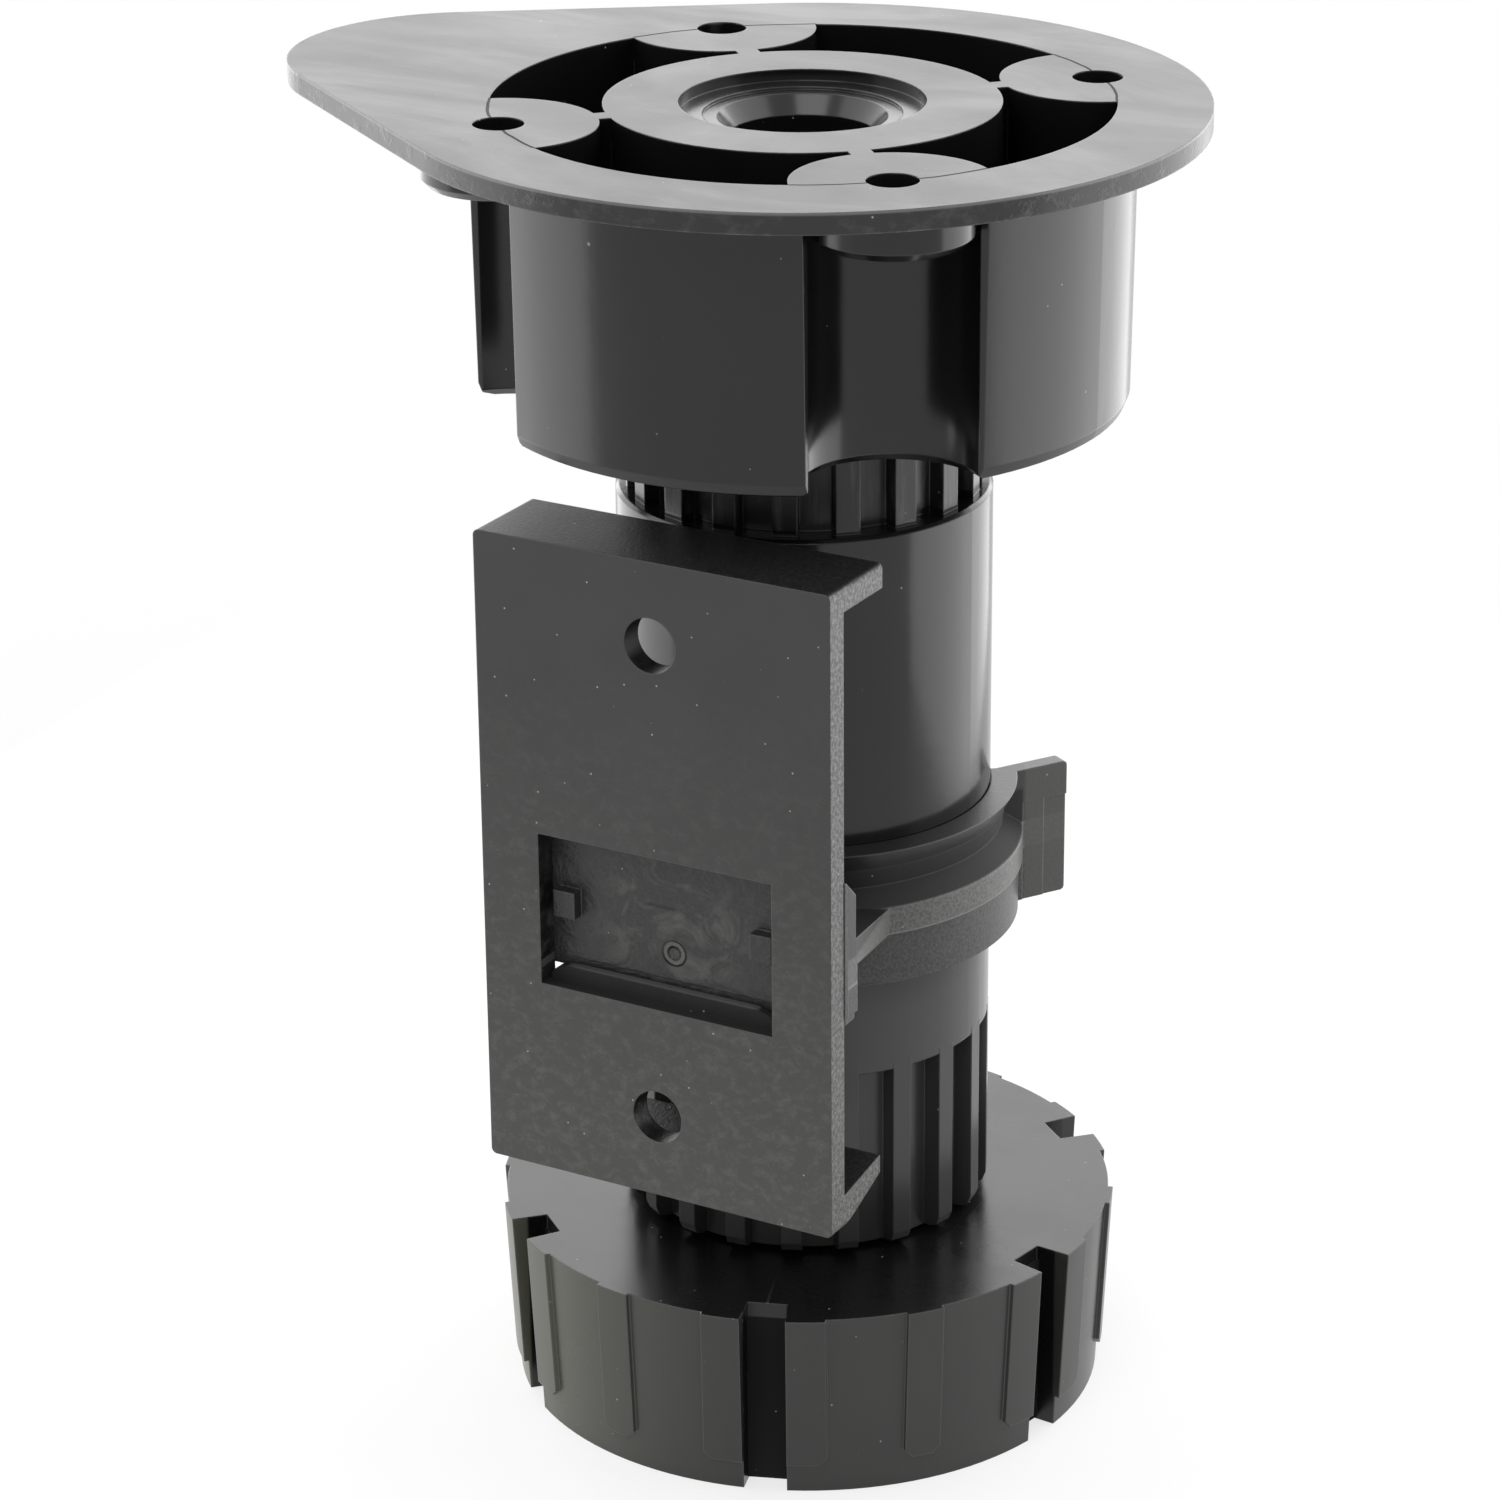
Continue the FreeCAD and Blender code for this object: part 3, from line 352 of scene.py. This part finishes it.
def foot_material():
    t = Plastic("foot_black", base=(0.004, 0.004, 0.004), rough=0.22)
    flat = t.facing_up()
    side = t.times(t.above(t.radius, FOOT_SIDE_FROM, SOFT), t.outside(flat))
    t.tint(side, grey(0.026, warm=0.001))
    t.dull(side, 0.06)
    # Yellowish bloom on one side of the rim
    across = t.plus(t.times(t.x, 0.97), t.times(t.y, 0.24))
    bloom = t.times(side, t.below(across, -0.012, 0.014))
    t.tint(t.times(bloom, 0.8), (0.088, 0.088, 0.066))
    smear = t.noise(70.0, detail=4.0, rough=0.6, coords=t.scaled(1, 1, 0.35))
    t.dull(t.span(smear, 0.4, 0.7), 0.07)
    t.tint(t.times(t.span(smear, 0.5, 0.75), side, 0.4), grey(0.040, warm=0.003))
    # Painted highlights along the rim's edges
    t.tint(t.times(t.edges, side, 0.55), grey(0.11, warm=0.005))
    # Inner ends of the slots under the disc's plate, painted darker as shade and dulled, and satin streaks on
    # the disc's top
    ends = t.times(t.near(t.radius, SLOT_END_R, 0.0003, CRISP), t.below(t.z, PLATE_LOW, CRISP))
    # Painted shade in the slot ends under the plate
    t.tint(ends, grey(0.001))
    t.dull(ends, 0.75)
    satin = t.noise(420.0, detail=2.0, rough=0.6, coords=t.scaled(0.25, 1, 1))
    t.dull(t.times(t.span(satin, 0.35, 0.7), flat), 0.03)
    # A fine scratch that runs in from one slot
    cosine, sine = math.cos(SCRATCH_WAY), math.sin(SCRATCH_WAY)
    along = t.plus(t.times(t.x, cosine), t.times(t.y, sine))
    across = t.plus(t.times(t.x, -sine), t.times(t.y, cosine))
    scratch = t.times(flat, t.near(across, 0.0, 0.00003, CRISP), t.above(along, SCRATCH_FROM, 0.0015))
    t.relief(t.times(scratch, -1.0), strength=0.8, distance=0.0003)
    # Thread on the stem
    stem = t.times(t.below(t.radius, STEM_WITHIN, CRISP), t.above(t.z, STEM_LOW, SOFT))
    turn = t.math("DIVIDE", t.math("ARCTAN2", t.y, t.x), 2 * math.pi)
    thread = t.math("PINGPONG", t.plus(t.math("DIVIDE", t.z, THREAD_PITCH), turn), 0.5)
    t.relief(t.times(thread, stem), strength=1.0, distance=0.0012)
    t.relief(t.noise(130.0), strength=0.05, distance=0.0003)
    t.relief(t.noise(2400.0, detail=2.0), strength=0.06, distance=0.00003)
    t.dust(share=0.45, spacing=0.0017)
    return t.finish()


def clip_material():
    t = Plastic("clip_black", base=(0.016, 0.016, 0.016), rough=0.34)
    face = t.below(t.y, BASE_FACE, CRISP)
    ears = t.above(t.radius, EARS_FROM, SOFT)
    back_ears = t.times(ears, t.above(t.y, 0.0, 0.001))
    # Spark-eroded grain on the band, skirt and neck, with a painted highlight line along the band's foot
    grainy = t.times(t.below(t.z, BAND_TOP, CRISP), t.outside(face))
    band = t.times(grainy, t.above(t.z, BAND_LOW, CRISP))
    grain = t.noise(3200.0, rough=0.7)
    pits = t.span(grain, 0.40, 0.66)
    t.tint(t.times(pits, grainy, 0.7), grey(0.070, warm=0.002))
    t.tint(t.times(band, 0.8), grey(0.060, warm=0.002))
    t.tint(t.times(pits, band, 0.6), grey(0.15, warm=0.004))
    # Painted highlight line along the band's lower edge
    line = t.near(t.z, BAND_LOW, 0.00006, 0.00016)
    t.tint(t.times(line, grainy, t.outside(back_ears), 0.5), grey(0.26, warm=0.01))
    t.relief(grain, strength=0.4, distance=0.00007)
    # Painted shade in the hollow under the ring's lip, paler ears, and painted highlights on the edges
    shaded_hollow = t.times(t.above(t.z, BAND_TOP, CRISP), t.below(t.z, HOLLOW_TOP, 0.0005),
                     t.below(t.radius, HOLLOW_WITHIN, SOFT))
    # Painted shade under the lip
    t.tint(shaded_hollow, grey(0.003))
    t.dull(shaded_hollow, 0.40)
    t.tint(t.times(back_ears, 0.8), grey(0.055, warm=0.002))
    # Painted highlights along the edges
    t.tint(t.times(t.edges, 0.4), grey(0.12, warm=0.002))
    # Moulding marks on the base's face, behind the window
    swirl = t.noise(190.0, detail=5.0, rough=0.65, twist=2.2)
    marked = t.times(face, t.below(t.distance(t.x, t.z, at=MARKS_AT), MARKS_R, 0.004))
    t.tint(t.times(t.span(swirl, 0.46, 0.62), marked, 0.7), grey(0.085, warm=0.005))
    t.tint(t.times(t.span(grain, 0.45, 0.70), face, 0.5), grey(0.045, warm=0.002))
    t.relief(t.times(swirl, face), strength=0.5, distance=0.0005)
    gate = t.distance(t.x, t.z, at=GATE_AT)
    t.relief(t.times(t.near(gate, GATE_R, 0.00015, 0.0003), face), strength=0.9, distance=0.0005)
    t.tint(t.times(t.near(gate, GATE_R, 0.0001, 0.0003), face, 0.5), grey(0.13, warm=0.01))
    slit = t.times(t.near(t.z, SLIT_AT[1], 0.00008, SOFT), t.near(t.x, SLIT_AT[0], 0.0013, 0.0005), face)
    t.tint(t.times(slit, 0.9), grey(0.004))
    t.dust(share=0.4, spacing=0.0018)
    return t.finish()


def bracket_material():
    t = Plastic("bracket_black", base=(0.024, 0.024, 0.024), rough=0.42)
    low = t.span(t.z, RUB_FROM, RUB_FULL)
    t.tint(low, grey(0.050, warm=0.002))
    # Cut sides are coarse and pale. The ends are dark, and the walls of the window and holes are painted dark
    # as shade
    sideways, off_middle = t.size_of(t.nx), t.size_of(t.x)
    cut = t.times(t.above(sideways, 0.7, 0.1), t.above(off_middle, BRACKET_SIDE, CRISP))
    shaded_walls = t.times(t.above(sideways, 0.3, 0.1), t.below(off_middle, BRACKET_SIDE, CRISP))
    ends = t.above(t.size_of(t.nz), 0.7, 0.1)
    coarse = t.math("MAXIMUM", cut, ends)
    grain = t.noise(2300.0, rough=0.7)
    pits = t.span(grain, 0.42, 0.68)
    # Painted shade on the walls of the window and holes
    t.tint(shaded_walls, grey(0.004))
    t.tint(t.times(pits, cut, 0.9), grey(0.19, warm=0.005))
    t.tint(ends, grey(0.005))
    t.tint(t.times(pits, ends, 0.5), grey(0.045))
    t.relief(t.times(grain, t.span(coarse, 0.0, 1.0, 0.30, 1.0)), strength=0.6, distance=0.00010)
    # Rubbed, dusty patches on the lower half, and painted highlights on the edges
    patches = t.noise(700.0, detail=5.0, rough=0.80, coords=t.scaled(0.9, 1, 1.2), twist=0.3)
    scuff = t.times(t.span(patches, 0.48, 0.66), low, t.outside(coarse))
    t.tint(t.times(scuff, 0.75), grey(0.095, warm=0.006))
    t.dull(scuff, 0.10)
    t.tint(t.times(t.edges, 0.35), grey(0.10))
    # The window's sill is smooth and painted dark as shade, with a painted highlight on its top edge
    sill = t.times(t.below(off_middle, WINDOW_HALF, 0.00002), t.above(t.y, WINDOW_FRONT, 0.00004),
                   t.above(t.z, SILL_LOW, CRISP), t.below(t.z, SILL_TOP, CRISP))
    # Painted shade on the sill
    t.tint(sill, grey(0.002))
    t.dull(sill, 0.35)
    # Painted highlight on the sill's top edge
    t.tint(t.times(sill, t.above(t.z, SILL_HIGHLIGHT_FROM, 0.00004), 0.6), grey(0.10))
    t.dust(share=0.5, spacing=0.0015)
    return t.finish()


def dress(node, material):
    materials = NODES[node].data.materials
    materials.clear()
    materials.append(material)


def place(name, mesh):
    """A new object in the scene, at the origin."""
    item = bpy.data.objects.new(name, mesh)
    bpy.context.scene.collection.objects.link(item)
    return item


def moulding(name, outline, front, back, material):
    """A bar with rounded edges on the clip: an outline in X and Z, drawn out along Y. Millimetres."""
    shape = bmesh.new()
    ends = [[shape.verts.new((x / 1000, y / 1000, z / 1000)) for x, z in outline] for y in (front, back)]
    shape.faces.new(ends[0])
    shape.faces.new(ends[1][::-1])
    for i in range(len(outline)):
        j = (i + 1) % len(outline)
        shape.faces.new((ends[0][i], ends[1][i], ends[1][j], ends[0][j]))
    bmesh.ops.recalc_face_normals(shape, faces=shape.faces)
    bmesh.ops.bevel(shape, geom=shape.edges[:], offset=ROUNDING / 1000, segments=2, affect="EDGES")
    mesh = bpy.data.meshes.new(name)
    shape.to_mesh(mesh)
    shape.free()
    mesh.materials.append(material)
    item = place(name, mesh)
    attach(item, "clip")


def camera():
    """The photograph's view: focal length, place and tilt of the lens."""
    forward = Vector((math.sin(YAW) * math.cos(PITCH), math.cos(YAW) * math.cos(PITCH), -math.sin(PITCH)))
    right = Vector((math.cos(YAW), -math.sin(YAW), 0))
    up = right.cross(forward)
    level_right = math.cos(ROLL) * right + math.sin(ROLL) * up
    level_up = -math.sin(ROLL) * right + math.cos(ROLL) * up
    axes = Matrix((level_right, level_up, -forward)).transposed().to_4x4()
    data = bpy.data.cameras.new("camera")
    data.sensor_width = SENSOR_MM
    data.lens = SENSOR_MM * FOCAL_PX / PHOTO_PX
    data.clip_start = 0.01
    item = place("camera", data)
    item.matrix_world = Matrix.Rotation(TURN, 4, "Z") @ Matrix.Translation(Vector(LENS_AT)) @ axes
    bpy.context.scene.camera = item


def world():
    """White surroundings: full white to the lens and in the gloss, plain light on the object."""
    scene = bpy.context.scene
    scene.world = bpy.data.worlds.new("studio")
    tree = Tree(scene.world, "ShaderNodeOutputWorld")
    mix = tree.add("ShaderNodeMixShader")
    for socket, strength in ((1, PLAIN_LIGHT), (2, FULL_WHITE)):
        light = tree.add("ShaderNodeBackground")
        tree.fill(light, {"Color": (1, 1, 1), "Strength": strength})
        tree.link(light.outputs[0], mix.inputs[socket])
    tree.link(tree.seen_rays(), mix.inputs[0])
    tree.link(mix.outputs[0], tree.out.inputs["Surface"])


def floor():
    """A white floor that keeps a faint shadow of the object."""
    mesh = bpy.data.meshes.new("floor")
    half = FLOOR_HALF
    corners = [(-half, -half, 0), (half, -half, 0), (half, half, 0), (-half, half, 0)]
    mesh.from_pydata(corners, [], [(0, 1, 2, 3)])
    surface = Surface("floor_white")
    shader = surface.add("ShaderNodeBsdfDiffuse")
    shader.inputs["Color"].default_value = (0.95, 0.95, 0.95, 1)
    glow = surface.add("ShaderNodeEmission")
    glow.inputs["Strength"].default_value = FULL_WHITE
    mix = surface.add("ShaderNodeMixShader")
    # Full white away from the object, a little shadow close to it
    white = surface.span(surface.radius, SHADOW_NEAR, SHADOW_FAR, SHADOW_WHITE, FULL_WHITE, smooth=True)
    surface.link(surface.times(surface.seen_rays(), white), mix.inputs[0])
    surface.link(shader.outputs[0], mix.inputs[1])
    surface.link(glow.outputs[0], mix.inputs[2])
    surface.link(mix.outputs[0], surface.out.inputs["Surface"])
    mesh.materials.append(surface.material)
    place("floor", mesh)


def soft_box(name, at, target, size, power):
    """A lamp: place and target in metres, as the lens sees left, right and front."""
    data = bpy.data.lights.new(name, "AREA")
    data.energy = power
    data.shape = "RECTANGLE"
    data.size, data.size_y = size
    item = place(name, data)
    turn = Matrix.Rotation(TURN, 3, "Z")
    start, end = turn @ Vector(at), turn @ Vector(target)
    item.location = start
    item.rotation_euler = (end - start).to_track_quat("-Z", "Y").to_euler()
    item.visible_camera = False


CLIP, BRACKET = clip_material(), bracket_material()
dress("mounting_socket", socket_material())
dress("leg_body", leg_material())
dress("foot", foot_material())
dress("plinth_clip", CLIP)
dress("plinth_bracket", BRACKET)

# The base plate's lower lip, and the raised back edge along the window's sill, in millimetres
BASE_LOW, SILL, PLATE_BACK, ROUNDING = 53.9, 51.65, -27.7, 0.12
moulding("base_lower_lip",
         [(-19.6, BASE_LOW + 0.4), (-19.6, BASE_LOW - 0.7), (-19.3, BASE_LOW - 1.0),
          (19.3, BASE_LOW - 1.0), (19.6, BASE_LOW - 0.7), (19.6, BASE_LOW + 0.4)],
         PLATE_BACK + 0.03, PLATE_BACK + 2.17, CLIP)
moulding("sill_ridge",
         [(-13.05, SILL - 0.3), (13.05, SILL - 0.3), (13.05, SILL + 0.5), (12.0, SILL + 1.2),
          (10.2, SILL + 1.75), (-10.2, SILL + 1.75), (-11.9, SILL + 1.5), (-13.05, SILL + 0.6)],
         PLATE_BACK - 1.02, PLATE_BACK - 0.02, BRACKET)

camera()
world()
floor()
soft_box("back_box", at=(0.1, 1.1, 0.52), target=(0, 0, 0.12), size=(1.8, 0.9), power=8.6)
soft_box("left_box", at=(-0.155, 0.072, 0.225), target=(0, 0, 0.225), size=(0.30, 0.45), power=0.62)
soft_box("right_box", at=(0.165, 0.053, 0.225), target=(0, 0, 0.225), size=(0.32, 0.45), power=0.75)
soft_box("front_box", at=(-0.25, -0.70, 0.95), target=(0, 0, 0.06), size=(0.7, 0.7), power=4.0)
bpy.context.scene.view_settings.view_transform = "Standard"
